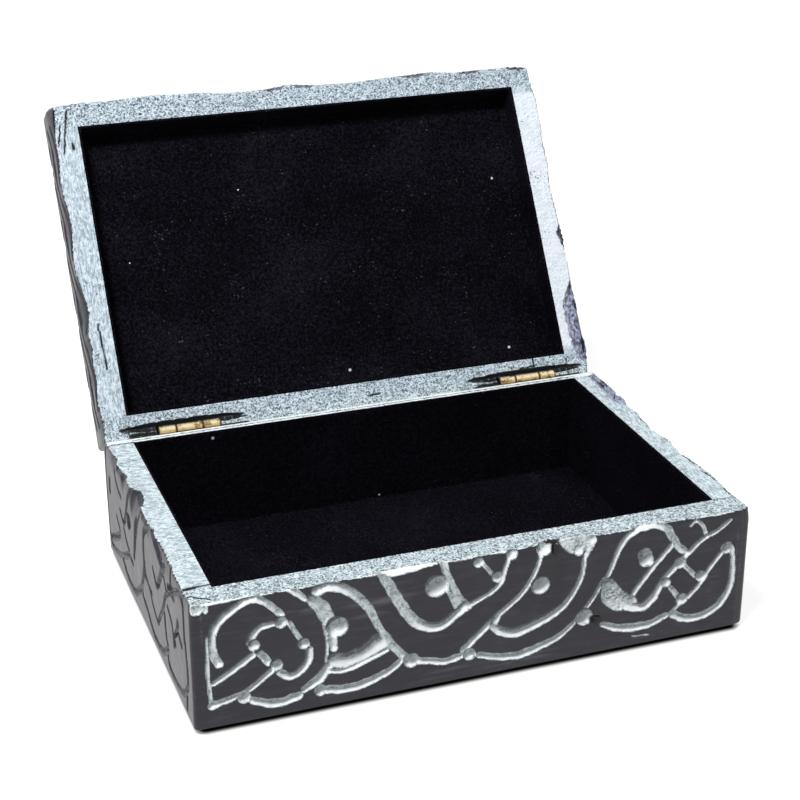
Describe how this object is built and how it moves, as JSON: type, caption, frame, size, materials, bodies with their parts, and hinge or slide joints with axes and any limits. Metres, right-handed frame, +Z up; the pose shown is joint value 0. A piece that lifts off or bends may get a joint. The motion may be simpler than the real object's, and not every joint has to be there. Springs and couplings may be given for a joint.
{
  "type": "tarot box",
  "caption": "Carved soapstone card box with a hinged slab lid that stands open on its own stop, a velvet-lined well and a felt foot.",
  "frame": {"origin": "middle of the base's footprint, on the surface that it stands on", "axes": "+Z up, -Y out of the carved front wall, +X to the right seen from the front; the lid opens towards +Y"},
  "size_m": [0.15, 0.162, 0.1189],
  "materials": {
    "soapstone": "black waxed satin, pale blue-grey where it is carved or worn",
    "velvet": "short matt pile",
    "felt": "matt felt",
    "brass": "dull with brown tarnish",
    "cement": "rough grey filler"
  },
  "bodies": {
    "base": {"front_wall": "soapstone", "back_wall": "soapstone", "left_wall": "soapstone", "right_wall": "soapstone", "bottom_slab": "soapstone", "foot_pad": "felt", "floor_lining": "velvet", "front_lining": "velvet", "back_lining": "velvet", "left_lining": "velvet", "right_lining": "velvet", "left_hinge_base_leaf": "brass", "right_hinge_base_leaf": "brass", "left_hinge_pin": "brass", "right_hinge_pin": "brass", "left_base_cement": "cement", "right_base_cement": "cement"},
    "lid": {"lid_slab": "soapstone", "lid_front_rail": "soapstone", "lid_back_rail": "soapstone", "lid_left_rail": "soapstone", "lid_right_rail": "soapstone", "lid_panel_lining": "velvet", "lid_front_lining": "velvet", "lid_back_lining": "velvet", "lid_left_lining": "velvet", "lid_right_lining": "velvet", "left_hinge_lid_leaf": "brass", "right_hinge_lid_leaf": "brass", "left_lid_cement": "cement", "right_lid_cement": "cement"}
  },
  "joints": [
    {"name": "lid_hinge", "type": "hinge", "parent": "base", "child": "lid", "pos_m": [0, 0.0482, 0.0361], "axis": [1, 0, 0], "range_deg": [0, 122.5]}
  ]
}
